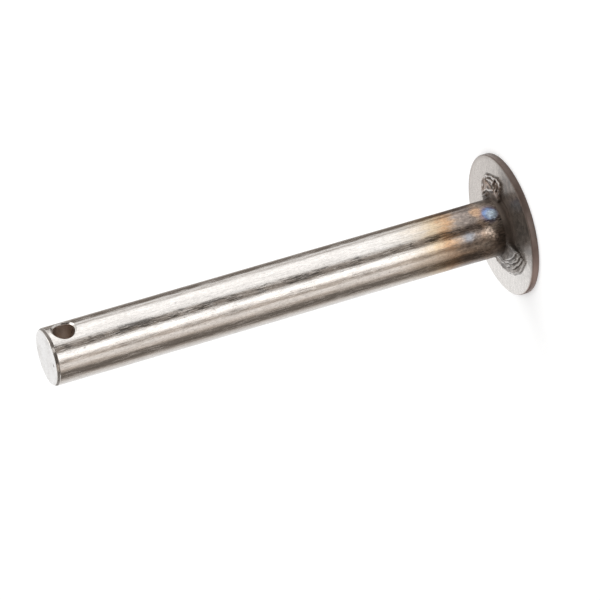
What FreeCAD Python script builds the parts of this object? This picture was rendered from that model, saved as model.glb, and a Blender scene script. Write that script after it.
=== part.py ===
"""Door spring pin: a half-inch bar with a flat washer welded on as its head.

Units are millimetres. The pin stands on its head: the origin is the centre of
the head's outer face, +Z runs along the shank to its free end, and the cross
hole for the retaining clip runs along X.
"""
import FreeCAD, Part
import math
import os

# Shank: a length of drawn round bar, cut off and bevelled at both ends
shank_diameter = 12.7
shank_length = 107.95
end_bevel_length = 0.65
end_bevel_depth = 0.35

# Cross hole near the free end, with an even bevel round both of its mouths
cross_hole_diameter = 4.76
cross_hole_from_free_end = 4.2
cross_hole_bevel = 0.43

# Head: a blanked flat washer that slips over the bar with a little room.
# The punch leaves one face with rounded edges and the other with sharper ones.
washer_diameter = 31.75
washer_thickness = 1.5875
washer_bore_clearance = 0.4
washer_rolled_edge = 0.35
washer_sharp_edge = 0.12

# Weld throat: a small sloping ring in the corner between the bar and the washer,
# with its root run down into the gap between them
throat_leg_on_washer = 1.0
throat_leg_on_shank = 1.7
weld_root_depth = 0.7

# Fused zone: the weld has melted this far into the bar and into the washer, up the
# bar as far as the throat and out along the washer to a little past the stitches
fusion_depth = 0.4
fusion_margin = 0.1

# Two stitches of raised metal lie on opposite sides of the bar. Each one reaches
# from one angle round the pin's axis to another, in degrees.
folded_stitch_start = -4.0
folded_stitch_end = 74.0
layered_stitch_start = 158.0
layered_stitch_end = 267.0

# Folded stitch: two rows of frozen puddles. Each puddle is a coin of metal that
# leans on the one before it and slopes down towards the washer's rim. The rows
# wander in and out a little, as a hand-held torch does.
inner_puddle_offset = 1.5
inner_puddle_radius = 1.6
inner_puddle_crown = 0.8
inner_puddle_spacing = 1.9
inner_puddle_slope = 14.0
outer_puddle_offset = 3.2
outer_puddle_radius = 1.85
outer_puddle_crown = 0.5
outer_puddle_spacing = 2.2
outer_puddle_slope = 5.0
puddle_lean = 11.0
puddle_flank = 0.2
puddle_depth = 1.1
puddle_wander = 0.2
wander_step = 2.4

# Layered stitch: the metal froze in layers, each one wider, lower and longer than
# the one on top of it. The layers are sectors of a ring that is centred a little
# way towards the stitch's end, so the stitch widens along its run.
layer_count = 4
layer_width = 3.0
top_layer_reach = 1.5
layer_reach_step = 0.95
top_layer_height = 1.15
layer_height_step = 0.27
layer_edge_slope = 0.15
layer_fall = 0.1
layer_end_step = 3.0
layer_centre_shift = 1.0

# Sizes that follow from the ones above
shank_radius = shank_diameter / 2
washer_radius = washer_diameter / 2
washer_bore_radius = shank_radius + washer_bore_clearance
cross_hole_radius = cross_hole_diameter / 2
cross_hole_height = shank_length - cross_hole_from_free_end
weld_seat_height = washer_thickness
puddle_reach = outer_puddle_offset + outer_puddle_radius + puddle_flank + puddle_wander
layer_reach = top_layer_reach + (layer_count - 1) * layer_reach_step + layer_edge_slope + layer_centre_shift
fusion_radius = shank_radius + max(puddle_reach, layer_reach) + fusion_margin

# How far a cutting tool runs past the surface that it leaves
tool_overrun = 1.0

ORIGIN = FreeCAD.Vector(0, 0, 0)
X_AXIS = FreeCAD.Vector(1, 0, 0)
Z_AXIS = FreeCAD.Vector(0, 0, 1)


def section_point(radius, height):
    """A point of a turned outline, which is drawn in the XZ plane."""
    return FreeCAD.Vector(radius, 0, height)


def turned(points, angle=360):
    """The solid that a closed outline sweeps when it turns about the pin's axis."""
    outline = Part.Face(Part.makePolygon(points + points[:1]))
    return outline.revolve(ORIGIN, Z_AXIS, angle)


def eased_corner(wall_radius, face_height, outward, upward, size):
    """The points that round off one corner of the washer's section in two flats.

    outward and upward are +1 or -1 and say which way the corner points. The
    middle point lies on the quarter circle that the two flats stand for.
    """
    centre_radius = wall_radius - outward * size
    centre_height = face_height - upward * size
    reach = size / math.sqrt(2)
    return [
        section_point(centre_radius, face_height),
        section_point(centre_radius + outward * reach, centre_height + upward * reach),
        section_point(wall_radius, centre_height),
    ]


def cross_hole_tool():
    """A rod across the shank, as long as the drill's path through it."""
    reach = shank_radius + tool_overrun
    start = FreeCAD.Vector(-reach, 0, cross_hole_height)
    return Part.makeCylinder(cross_hole_radius, 2 * reach, start, X_AXIS)


def make_shank(fused):
    """The bar with its end bevels, bevelled cross hole and the neck that the weld melted."""
    bevel_radius = shank_radius - end_bevel_depth
    bar = turned([
        section_point(0, 0),
        section_point(bevel_radius, 0),
        section_point(shank_radius, end_bevel_length),
        section_point(shank_radius, shank_length - end_bevel_length),
        section_point(bevel_radius, shank_length),
        section_point(0, shank_length),
    ])
    drilled = bar.cut(cross_hole_tool())
    bevelled = drilled.makeChamfer(cross_hole_bevel, mouth_edges(drilled))
    return bevelled.cut(fused)


def mouth_edges(drilled):
    """The saddle-shaped edges where the cross hole breaks through the bar's side."""
    walls = [face for face in drilled.Faces if isinstance(face.Surface, Part.Cylinder)]
    hole_walls = [face for face in walls if abs(face.Surface.Axis.x) > 0.5]
    side_walls = [face for face in walls if abs(face.Surface.Axis.z) > 0.5]
    side_edges = [edge for wall in side_walls for edge in wall.Edges]
    hole_edges = [edge for wall in hole_walls for edge in wall.Edges]
    return [edge for edge in hole_edges if any(edge.isSame(other) for other in side_edges)]


def make_washer(fused):
    """The head: a flat ring with its top rim rolled over and its inner rim melted away."""
    lower_inner = eased_corner(washer_bore_radius, 0, -1, -1, washer_sharp_edge)
    lower_outer = eased_corner(washer_radius, 0, 1, -1, washer_sharp_edge)
    upper_outer = eased_corner(washer_radius, washer_thickness, 1, 1, washer_rolled_edge)
    upper_inner = [section_point(washer_bore_radius, washer_thickness)]
    ring = turned(lower_inner[::-1] + lower_outer + upper_outer[::-1] + upper_inner)
    return ring.cut(fused)


def fused_zone():
    """The weld's smooth base: root, melted rings in bar and washer, and sloping throat."""
    melted_bar_radius = shank_radius - fusion_depth
    melted_face_height = weld_seat_height - fusion_depth
    root_height = weld_seat_height - weld_root_depth
    crest_height = weld_seat_height + throat_leg_on_shank
    return turned([
        section_point(melted_bar_radius, root_height),
        section_point(washer_bore_radius, root_height),
        section_point(washer_bore_radius, melted_face_height),
        section_point(fusion_radius, melted_face_height),
        section_point(fusion_radius, weld_seat_height),
        section_point(shank_radius + throat_leg_on_washer, weld_seat_height),
        section_point(shank_radius, crest_height),
        section_point(melted_bar_radius, crest_height),
    ])


def puddle(pitch_radius, angle, radius, crown, slope):
    """One frozen puddle: a coin with a flared flank, leaning along and across the row."""
    outward = FreeCAD.Vector(math.cos(angle), math.sin(angle), 0)
    along = FreeCAD.Vector(-math.sin(angle), math.cos(angle), 0)
    tilt = outward * math.tan(math.radians(slope)) + along * math.tan(math.radians(puddle_lean))
    facing = (Z_AXIS + tilt).normalize()
    top_centre = outward * pitch_radius + Z_AXIS * (weld_seat_height + crown)
    foot_centre = top_centre - facing * puddle_depth
    return Part.makeCone(radius + puddle_flank, radius, puddle_depth, foot_centre, facing)


def puddle_row(offset, radius, crown, spacing, slope):
    """A row of puddles that fills the folded stitch from its start to its end."""
    pitch_radius = shank_radius + offset
    inset = radius / pitch_radius
    first_angle = math.radians(folded_stitch_start) + inset
    arc = math.radians(folded_stitch_end - folded_stitch_start) - 2 * inset
    steps = round(arc * pitch_radius / spacing)
    row = []
    for index in range(steps + 1):
        angle = first_angle + arc * index / steps
        wander = puddle_wander * math.sin(wander_step * index)
        row.append(puddle(pitch_radius + wander, angle, radius, crown, slope))
    return row


def folded_stitch():
    """The wrinkled stitch, with its inner row of puddles lapped over its outer row."""
    outer_row = puddle_row(
        outer_puddle_offset, outer_puddle_radius, outer_puddle_crown, outer_puddle_spacing, outer_puddle_slope
    )
    inner_row = puddle_row(
        inner_puddle_offset, inner_puddle_radius, inner_puddle_crown, inner_puddle_spacing, inner_puddle_slope
    )
    return outer_row + inner_row


def layer(index):
    """One layer of the layered stitch, counted from the top one down."""
    outer_radius = shank_radius + top_layer_reach + index * layer_reach_step
    inner_radius = outer_radius - layer_width
    top = weld_seat_height + top_layer_height - index * layer_height_step
    floor = weld_seat_height - fusion_depth
    set_back = (layer_count - 1 - index) * layer_end_step
    start = layered_stitch_start + set_back
    end = layered_stitch_end - set_back
    sector = turned([
        section_point(inner_radius, floor),
        section_point(outer_radius + layer_edge_slope, floor),
        section_point(outer_radius, top),
        section_point(inner_radius, top + layer_fall),
    ], end - start)
    sector.rotate(ORIGIN, Z_AXIS, start)
    shift_angle = math.radians(layered_stitch_end)
    shift = FreeCAD.Vector(math.cos(shift_angle), math.sin(shift_angle), 0) * layer_centre_shift
    sector.translate(shift)
    return sector


def layered_stitch():
    """The stitch that froze in layers, from the top one down."""
    return [layer(index) for index in range(layer_count)]


def make_weld(fused, shank, washer):
    """The weld metal, seated on the bar and on the washer that it joins."""
    metal = fused.multiFuse(folded_stitch() + layered_stitch())
    return metal.cut([shank, washer]).removeSplitter()


def main():
    fused = fused_zone()
    shank = make_shank(fused)
    washer = make_washer(fused)
    pieces = {
        "shank": shank,
        "washer_head": washer,
        "weld_bead": make_weld(fused, shank, washer),
    }
    os.makedirs("parts", exist_ok=True)
    for name, shape in pieces.items():
        if len(shape.Solids) == 1:
            shape = shape.Solids[0]
        shape.exportStep(f"parts/{name}.step")
        print(name, "solids", len(shape.Solids), "valid", shape.isValid(), "volume", round(shape.Volume, 2))


main()
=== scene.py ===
# %% [markdown]
# Door spring pin. A half-inch steel bar has a flat washer welded on as its head
# and a cross hole for a clip near its free end. It is made of three pieces: the
# bar, the washer and the weld. This lesson builds each one as a fine mesh, gives
# it a metal finish made of nodes, and lights it as a small studio would.
#
# The first cell loads the imported solids. Lengths are typed in millimetres, as a
# machinist would, and turned into Blender's metres by one factor.

# %% Load the solids
import bpy
import bmesh
import math
import random
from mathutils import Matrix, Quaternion, Vector


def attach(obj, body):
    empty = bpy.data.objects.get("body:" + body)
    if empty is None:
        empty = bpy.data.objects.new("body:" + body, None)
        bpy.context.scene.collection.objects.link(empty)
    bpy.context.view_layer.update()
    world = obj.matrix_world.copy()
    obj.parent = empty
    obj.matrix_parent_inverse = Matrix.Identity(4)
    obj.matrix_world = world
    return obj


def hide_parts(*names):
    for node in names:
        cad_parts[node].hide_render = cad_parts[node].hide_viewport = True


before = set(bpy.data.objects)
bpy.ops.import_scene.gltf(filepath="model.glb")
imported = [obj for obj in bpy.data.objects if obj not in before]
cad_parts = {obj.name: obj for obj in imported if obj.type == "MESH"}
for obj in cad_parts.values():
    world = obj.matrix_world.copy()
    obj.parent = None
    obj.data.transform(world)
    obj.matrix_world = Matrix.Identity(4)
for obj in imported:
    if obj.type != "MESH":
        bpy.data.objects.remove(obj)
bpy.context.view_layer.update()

MM = 0.001

# %% [markdown]
# The sizes of the real pin. They are the ones of the solids, so that every fine
# mesh below lies on the solid that it stands for. A half-inch bar, a half-inch
# flat washer and a 3/16 inch hole are all stock sizes.

# %% Sizes of the pin
BAR_RADIUS = 6.35
BAR_LENGTH = 107.95
END_BEVEL_LENGTH = 0.65
END_BEVEL_DEPTH = 0.35
HOLE_RADIUS = 2.38
HOLE_HEIGHT = BAR_LENGTH - 4.2
HOLE_BEVEL = 0.43
WASHER_RADIUS = 15.875
WASHER_THICKNESS = 1.5875
BORE_RADIUS = BAR_RADIUS + 0.4
ROLLED_EDGE = 0.35
SHARP_EDGE = 0.12
THROAT_ON_WASHER = 1.0
THROAT_ON_BAR = 1.7
MELT_DEPTH = 0.4
MELT_RADIUS = 12.7
MELT_TOP = WASHER_THICKNESS + THROAT_ON_BAR
MELT_FLOOR = WASHER_THICKNESS - MELT_DEPTH
ROOT_HEIGHT = WASHER_THICKNESS - 0.7
NECK_RADIUS = BAR_RADIUS - MELT_DEPTH
print("free bar from", MELT_TOP, "to", BAR_LENGTH - END_BEVEL_LENGTH, "mm")

# %% [markdown]
# Every piece is a closed skin of rings. One helper turns lists of points and faces
# into an object. It turns all faces outward, and marks an edge as sharp where
# two faces meet at more than 35 degrees, so that flat faces stay flat and
# rounded ones look smooth.

# %% Mesh helpers
SHARP_ANGLE = math.radians(35)


def polar_point(radius, angle, height):
    """A point by its distance from the pin's axis, its angle round it and its height."""
    return (radius * math.cos(angle), radius * math.sin(angle), height)


def place_object(name, data):
    """Puts a mesh, a lamp or a camera into the scene."""
    item = bpy.data.objects.new(name, data)
    bpy.context.scene.collection.objects.link(item)
    return item


def new_mesh(name, points, faces):
    """A mesh from points in millimetres and faces given by point numbers."""
    mesh = bpy.data.meshes.new(name)
    mesh.from_pydata([Vector(p) * MM for p in points], [], faces)
    return mesh


def skin(name, points, faces):
    """One closed piece of the pin, with its faces turned outward."""
    mesh = new_mesh(name, points, faces)
    work = bmesh.new()
    work.from_mesh(mesh)
    bmesh.ops.recalc_face_normals(work, faces=work.faces)
    open_edges = sum(not edge.is_manifold for edge in work.edges)
    triangles = sum(len(face.verts) - 2 for face in work.faces)
    work.to_mesh(mesh)
    work.free()
    mesh.shade_smooth()
    mesh.set_sharp_from_angle(angle=SHARP_ANGLE)
    print(name, "points", len(points), "triangles", triangles, "open edges", open_edges)
    return place_object(name, mesh)


def bridge(faces, lower, upper):
    """Adds the faces between two closed loops that have the same number of points."""
    count = len(lower)
    for i in range(count):
        j = (i + 1) % count
        faces.append((lower[i], lower[j], upper[j], upper[i]))


def rounded_corner(corner, before, after, size, steps):
    """The points of a small round that takes the place of a corner in a section."""
    corner, before, after = Vector(corner), Vector(before), Vector(after)
    start = corner + (before - corner).normalized() * size
    end = corner + (after - corner).normalized() * size
    shares = [i / steps for i in range(steps + 1)]
    return [tuple(start * (1 - t) ** 2 + corner * 2 * t * (1 - t) + end * t ** 2) for t in shares]


# %% [markdown]
# The bar. On the real pin it is drawn steel, cut to length, bevelled at both
# ends and drilled across. A plain cylinder with a boolean hole would give long thin
# faces round the hole, which shade badly. So the skin is laid out: 256
# columns round the bar, and on each side a square patch of that grid whose
# middle is the round mouth of the hole. The patch's loops change from the square
# to the circle step by step, and they all lie on the cylinder.

# %% Bar: columns and rings
COLUMNS = 256
COLUMN_ANGLE = 2 * math.pi / COLUMNS
WALL_ROWS = 40
PATCH_COLUMNS = 24
PATCH_ROWS = 2 * PATCH_COLUMNS
PATCH_HEIGHT = 3.4
PATCH_FOOT = HOLE_HEIGHT - PATCH_HEIGHT

bar_points, bar_faces = [], []


def bar_ring(radius, height):
    """Adds one full ring of the bar and returns its point numbers."""
    first = len(bar_points)
    bar_points.extend(polar_point(radius, i * COLUMN_ANGLE, height) for i in range(COLUMNS))
    return list(range(first, first + COLUMNS))


def close_end(ring, height):
    """Closes an end of the bar with a fan of faces round its centre."""
    centre = len(bar_points)
    bar_points.append((0, 0, height))
    for i in range(COLUMNS):
        bar_faces.append((centre, ring[i], ring[(i + 1) % COLUMNS]))


patch_heights = [PATCH_FOOT + 2 * PATCH_HEIGHT * i / PATCH_ROWS for i in range(PATCH_ROWS + 1)]
wall_heights = [MELT_TOP + (PATCH_FOOT - MELT_TOP) * i / WALL_ROWS for i in range(WALL_ROWS)]
print("rows below the hole", WALL_ROWS, "rows beside the hole", len(patch_heights))

# %% [markdown]
# The closed end sits flush in the washer and is stepped in where the weld has
# melted the bar. The free end has a bevel with softly worn edges, which catch a
# thin line of light. A bevel modifier would round every edge alike, so the two
# sections are typed as points, with a small round of its own at each corner.

# %% Bar: section from the head to the free end
HIDDEN_ROUND = 0.05
SIDE_ROUND = 0.12
FACE_ROUND = 0.09
bevel_radius = BAR_RADIUS - END_BEVEL_DEPTH
free_bevel = BAR_LENGTH - END_BEVEL_LENGTH

foot_inner, foot_outer = (bevel_radius, 0), (BAR_RADIUS, END_BEVEL_LENGTH)
tip_outer, tip_inner = (BAR_RADIUS, free_bevel), (bevel_radius, BAR_LENGTH)

head_section = [
    (0.5, 0.0), (3.0, 0.0), (5.4, 0.0),
    *rounded_corner(foot_inner, (5, 0), foot_outer, HIDDEN_ROUND, 3),
    *rounded_corner(foot_outer, foot_inner, (BAR_RADIUS, 1), HIDDEN_ROUND, 3),
    (BAR_RADIUS, ROOT_HEIGHT), (NECK_RADIUS, ROOT_HEIGHT), (NECK_RADIUS, MELT_TOP),
]
free_section = [
    *rounded_corner(tip_outer, (BAR_RADIUS, 100), tip_inner, SIDE_ROUND, 4),
    *rounded_corner(tip_inner, tip_outer, (0, BAR_LENGTH), FACE_ROUND, 4),
    *((radius, BAR_LENGTH) for radius in (5.6, 4.6, 3.0, 1.5, 0.5)),
]
rings = [bar_ring(r, z) for r, z in head_section]
rings += [bar_ring(BAR_RADIUS, z) for z in wall_heights]
for lower, upper in zip(rings, rings[1:]):
    bridge(bar_faces, lower, upper)
close_end(rings[0], 0)
print("rings up to the hole", len(rings))

# %% [markdown]
# Beside the hole each ring is laid down as before, and a face is left out where
# it would lie inside one of the two patches.

# %% Bar: the wall beside the hole
patch_rings = [bar_ring(BAR_RADIUS, z) for z in patch_heights]
bridge(bar_faces, rings[-1], patch_rings[0])


def in_patch(column):
    """True where the face to the right of this column lies inside a patch."""
    return (column + PATCH_COLUMNS) % (COLUMNS // 2) < 2 * PATCH_COLUMNS


for lower, upper in zip(patch_rings, patch_rings[1:]):
    for i in range(COLUMNS):
        if not in_patch(i):
            j = (i + 1) % COLUMNS
            bar_faces.append((lower[i], lower[j], upper[j], upper[i]))

rings = [patch_rings[-1]] + [bar_ring(r, z) for r, z in free_section]
for lower, upper in zip(rings, rings[1:]):
    bridge(bar_faces, lower, upper)
close_end(rings[-1], BAR_LENGTH)
print("faces without the hole", len(bar_faces))

# %% [markdown]
# The hole. The clip's hole is drilled straight through and its two mouths are
# bevelled, so a mouth is a saddle-shaped loop. Each loop of a patch has 192
# points. The bevel gets a little roundness at its edges, as a countersink and some
# use leave it. This cell has the helpers: a patch's square border, the bevel's
# section at an angle, and the points between the two.

# %% Bar: the patches' border and bevel
PATCH_LOOPS = 9
PATCH_EASE = 1.5
MOUTH_ROUND = 0.09
BORE_ROUND = 0.07


def patch_border(side):
    """Point numbers and (across, up) places of a patch's square border, in order."""
    count = PATCH_COLUMNS
    steps = [(count, j) for j in range(-count, count)]
    steps += [(-j, count) for j in range(-count, count)]
    steps += [(-count, -j) for j in range(-count, count)]
    steps += [(j, -count) for j in range(-count, count)]
    numbers, places = [], []
    for across, up in steps:
        column = across if side > 0 else COLUMNS // 2 - across
        numbers.append(patch_rings[up + count][column % COLUMNS])
        places.append((across * COLUMN_ANGLE * BAR_RADIUS, up * PATCH_HEIGHT / count))
    return numbers, places


def mouth_point(angle, radius, inward):
    """A point on the bar's side above a circle of the hole, moved inward along the hole."""
    across = radius * math.cos(angle)
    outward = math.sqrt(BAR_RADIUS ** 2 - across ** 2) - inward
    return (outward, across, radius * math.sin(angle))


def bevel_section(angle):
    """The bevel of one mouth from the bar's side to the bore, with softened edges."""
    before = mouth_point(angle, HOLE_RADIUS + HOLE_BEVEL + 0.2, 0)
    outer = mouth_point(angle, HOLE_RADIUS + HOLE_BEVEL - 0.01, 0)
    inner = mouth_point(angle, HOLE_RADIUS, HOLE_BEVEL)
    after = mouth_point(angle, HOLE_RADIUS, HOLE_BEVEL + 0.3)
    mouth = rounded_corner(outer, before, inner, MOUTH_ROUND, 4)
    return mouth + rounded_corner(inner, outer, after, BORE_ROUND, 4)


def patch_point(side, border, edge, step):
    """A point of the bar's side between the square border and the bevel's edge."""
    blend = 1 - (1 - step / PATCH_LOOPS) ** PATCH_EASE
    edge_across = math.asin(edge[1] / BAR_RADIUS) * BAR_RADIUS
    turn = (border[0] * (1 - blend) + edge_across * blend) / BAR_RADIUS
    height = HOLE_HEIGHT + border[1] * (1 - blend) + edge[2] * blend
    return (side * BAR_RADIUS * math.cos(turn), BAR_RADIUS * math.sin(turn), height)


def next_loop(loop, points):
    """Adds a loop of points, joins it to the loop before it and returns its numbers."""
    ring = range(len(bar_points), len(bar_points) + len(points))
    bar_points.extend(points)
    bridge(bar_faces, loop, ring)
    return ring


print("points in a loop of a patch", 8 * PATCH_COLUMNS)

# %% [markdown]
# Now the loops run from each border down the bevel, and the bore's wall joins the
# two sides. Rings beside the hole left some points that no face uses. They are
# dropped, and the bar becomes an object that stands for the solid bar.

# %% Bar: patches, bevels and bore
BORE_LOOPS = 24

bore_ends = []
for side in (1, -1):
    loop, places = patch_border(side)
    sections = [bevel_section(math.atan2(up, across)) for across, up in places]
    edges = [cut[0] for cut in sections]
    for step in range(1, PATCH_LOOPS):
        loop = next_loop(loop, [patch_point(side, *pair, step) for pair in zip(places, edges)])
    for row in range(len(sections[0])):
        points = [cut[row] for cut in sections]
        loop = next_loop(loop, [(side * out, across, HOLE_HEIGHT + up) for out, across, up in points])
    bore_ends.append(loop)

loop, far_loop = bore_ends
for step in range(1, BORE_LOOPS):
    share = 1 - 2 * step / BORE_LOOPS
    points = [cut[-1] for cut in sections]
    loop = next_loop(loop, [(out * share, across, HOLE_HEIGHT + up) for out, across, up in points])
bridge(bar_faces, loop, far_loop)

used = sorted({number for face in bar_faces for number in face})
new_number = {number: i for i, number in enumerate(used)}
bar = skin(
    "bar",
    [bar_points[number] for number in used],
    [tuple(new_number[number] for number in face) for face in bar_faces],
)
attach(bar, "root")
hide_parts("shank")

# %% [markdown]
# The washer. It is punched from sheet, which rolls the edge of one face over and
# leaves the other sharper. A lathe shape suits it: one section is turned about
# the pin's axis. The step inside the section is where the weld has melted into it.

# %% Washer
WASHER_COLUMNS = 384


def lathe(name, section, columns):
    """Turns a closed section of (radius, height) points into a ring."""
    points, faces, loops = [], [], []
    for radius, height in section:
        loops.append(range(len(points), len(points) + columns))
        points += [polar_point(radius, 2 * math.pi * i / columns, height) for i in range(columns)]
    for lower, upper in zip(loops, loops[1:] + loops[:1]):
        bridge(faces, lower, upper)
    return skin(name, points, faces)


def quarter_round(centre, size, start, steps):
    """A quarter circle in the section, from the start angle on, in degrees."""
    angles = [math.radians(start + 90 * i / steps) for i in range(steps + 1)]
    return [(centre[0] + size * math.cos(a), centre[1] + size * math.sin(a)) for a in angles]


rolled_centre = (WASHER_RADIUS - ROLLED_EDGE, WASHER_THICKNESS - ROLLED_EDGE)
washer_section = [
    *quarter_round((BORE_RADIUS + SHARP_EDGE, SHARP_EDGE), SHARP_EDGE, 180, 4),
    (9.0, 0.0), (12.0, 0.0), (15.0, 0.0),
    *quarter_round((WASHER_RADIUS - SHARP_EDGE, SHARP_EDGE), SHARP_EDGE, 270, 4),
    (WASHER_RADIUS, 0.5), (WASHER_RADIUS, 0.9),
    *quarter_round(rolled_centre, ROLLED_EDGE, 0, 8),
    *((radius, WASHER_THICKNESS) for radius in (15.4, 14.6, 13.2, MELT_RADIUS)),
    (MELT_RADIUS, MELT_FLOOR), (BORE_RADIUS, MELT_FLOOR),
]
washer = lathe("washer", washer_section, WASHER_COLUMNS)
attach(washer, "root")
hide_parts("washer_head")

# %% [markdown]
# The weld. Two stitches of metal hold the washer to the bar, on opposite sides, and
# between them only a small throat fills the corner. They could be sculpted by hand,
# but a height field is exact and repeats well: for each place on the washer the next
# cells work out how high the metal stands. It starts with unevenness. Sums of a few
# waves in random directions, drawn from a fixed seed, look natural and are the
# same every time. One minus the size of a wave has a sharp crest, like a fold.

# %% Weld: waves for the unevenness
draw = random.Random(71)


def wave_set(count, shortest, longest):
    """Random waves as (direction x, direction y, phase), with lengths in millimetres."""
    waves = []
    for _ in range(count):
        turn = draw.uniform(0, 2 * math.pi)
        number = 2 * math.pi / draw.uniform(shortest, longest)
        phase = draw.uniform(0, 2 * math.pi)
        waves.append((number * math.cos(turn), number * math.sin(turn), phase))
    return waves


edge_waves = wave_set(4, 2.0, 5.0)
fold_waves = wave_set(3, 5.0, 8.0)
small_waves = wave_set(5, 0.9, 1.8)


def swell(x, y, waves):
    """A smooth uneven height between about -1 and 1."""
    return sum(math.sin(a * x + b * y + c) for a, b, c in waves) / len(waves)


def folds(x, y, waves):
    """A height between 0 and 1 with sharp crests."""
    return sum(1 - abs(math.sin(a * x + b * y + c)) for a, b, c in waves) / len(waves)


print("waves", len(edge_waves) + len(fold_waves) + len(small_waves))

# %% [markdown]
# Four small curves shape everything that follows: a share that stops at 0 and 1,
# a soft step, a hump, and a value that changes along the run of a stitch.

# %% Weld: steps and humps
def share_between(low, high, value):
    """0 below low, 1 above high, and a straight change between."""
    return min(1.0, max(0.0, (value - low) / (high - low)))


def smooth_step(low, high, value):
    """0 below low, 1 above high, and a smooth change between."""
    t = share_between(low, high, value)
    return t * t * (3 - 2 * t)


def hump(value, centre, width):
    """1 at the centre, and 0 a few widths away from it."""
    return math.exp(-((value - centre) / width) ** 2)


def along_run(angles, values, degrees):
    """The value at an angle, with soft changes between the given angles."""
    for low, high, first, second in zip(angles, angles[1:], values, values[1:]):
        if degrees <= high:
            share = (smooth_step(low, high, degrees) + share_between(low, high, degrees)) / 2
            return first + (second - first) * share
    return values[-1]


print("a soft step halfway up", smooth_step(0, 1, 0.5))

# %% [markdown]
# The layered stitch. Here the torch went round slowly and the metal froze in
# layers, each a little wider and lower than the one on top of it. The edges of the
# layers start at the bar and drift outward along the run, as the torch moved out.
# Each edge is given by its distance from the bar at a few angles, and carries a
# raised lip, with a fainter one behind it and a groove in front. Short ripples
# cross the outer layers where the stitch ends.

# %% Weld: the layered stitch
LAYERED_START, LAYERED_END = 158.0, 267.0
LAYER_ANGLES = (158, 180, 200, 220, 240, 267)
# Height of each layer, and the places of its edge at those angles
LAYERS = (
    (0.34, (-1.0, -0.8, -0.1, 0.9, 2.0, 3.4)),
    (0.30, (-0.6, 0.1, 0.9, 1.9, 3.1, 4.7)),
    (0.27, (1.3, 1.9, 2.5, 3.1, 4.1, 5.5)),
    (0.36, (3.0, 3.9, 4.2, 4.6, 5.5, 6.2)),
)
LAYER_DRIFT = 0.25
LAYER_EDGE = 0.10
LIP_HEIGHT = 0.085
# Place beside the edge, width, and share of the lip's height
LIPS = ((-0.18, 0.11, 1.0), (-0.58, 0.11, 0.5), (0.16, 0.12, -0.5))
CORNER_RISE, CORNER_REACH = 0.30, 1.3
RIPPLE_HEIGHT, RIPPLE_LENGTH, RIPPLE_SLANT = 0.08, 1.15, 0.35
LAYER_GRAIN = 0.012


def layered_stitch(gap, degrees, x, y):
    """Height of the layered stitch at a gap from the bar's side."""
    height = CORNER_RISE * (1 - smooth_step(0.0, CORNER_REACH, gap))
    for i, (step, edges) in enumerate(LAYERS):
        edge = along_run(LAYER_ANGLES, edges, degrees) + LAYER_DRIFT * swell(x + 3 * i, y, edge_waves)
        lip = LIP_HEIGHT * (1 + 1.1 * swell(y, x + 5 * i, edge_waves))
        height += step * (1 - smooth_step(edge - LAYER_EDGE, edge + LAYER_EDGE, gap))
        height += lip * sum(share * hump(gap, edge + beside, width) for beside, width, share in LIPS)
    arc = math.radians(degrees) * (BAR_RADIUS + gap)
    ripple = RIPPLE_HEIGHT * math.sin(2 * math.pi * (arc / RIPPLE_LENGTH - RIPPLE_SLANT * gap))
    near_end = smooth_step(0.5, 0.75, (degrees - LAYERED_START) / (LAYERED_END - LAYERED_START))
    height += ripple * near_end * smooth_step(2.6, 3.8, gap)
    height += LAYER_GRAIN * swell(x, y, small_waves)
    return max(0.0, height) * (1 - smooth_step(edge, edge + 2 * LAYER_EDGE, gap))


print("layers", len(LAYERS))

# %% [markdown]
# The folded stitch. On the other side the metal was thrown down quickly and
# wrinkled as it froze, so it has an uneven outline, a few broad facets, and
# crests and creases between them. Noise alone gives no such folds. So the crests
# and creases are drawn as short lines on the washer's plane, in millimetres, each
# with a height, which is below zero for a crease, and a width.

# %% Weld: the folded stitch
FOLDED_START, FOLDED_END = -4.0, 74.0
FOLDED_ANGLES = (-4, 0, 9, 17, 26, 36, 46, 57, 66, 74)
FOLDED_REACH = (4.4, 5.5, 5.4, 5.1, 5.1, 5.2, 4.9, 3.6, 2.8, 2.4)
FOLDED_DRIFT = 0.18
FOLDED_EDGE = 0.12
RIM_HEIGHT, RISE_TO_BAR, FACET_HEIGHT = 0.50, 0.45, 0.26
RIM_LIP, FOLDED_GRAIN = 0.05, 0.015
FOLD_LINES = (
    (0.15, 0.24, ((8.7, 7.1), (7.9, 7.5), (6.8, 7.1), (5.9, 7.5), (4.8, 7.0))),
    (0.16, 0.24, ((8.8, 6.9), (9.4, 5.9), (10.3, 4.2), (10.7, 2.6))),
    (0.18, 0.20, ((9.6, 6.0), (8.4, 6.7))),
    (0.27, 0.30, ((9.2, 5.3), (9.8, 3.6), (9.8, 2.4))),
    (0.26, 0.26, ((11.5, 1.7), (10.9, 1.9), (9.9, 2.3), (9.2, 1.8))),
    (0.32, 0.30, ((7.1, 4.7), (7.2, 3.9), (8.2, 2.2))),
    (0.30, 0.30, ((3.7, 7.2), (4.0, 6.4), (5.2, 5.0))),
    (0.18, 0.24, ((11.4, 0.7), (11.0, -0.3), (9.8, -0.2))),
    (0.16, 0.24, ((10.7, 1.0), (9.6, 0.6), (8.6, 0.8))),
    (-0.30, 0.36, ((8.3, 5.8), (8.4, 4.3), (8.5, 3.0))),
    (-0.22, 0.22, ((9.9, 4.9), (10.4, 3.6), (10.4, 2.7))),
    (-0.20, 0.20, ((10.9, 1.4), (10.0, 1.3), (9.2, 1.2))),
    (-0.28, 0.26, ((4.7, 6.6), (5.9, 5.4), (6.4, 3.6))),
    (-0.20, 0.20, ((11.1, 0.3), (10.2, 0.1), (9.0, 0.3))),
)


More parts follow.
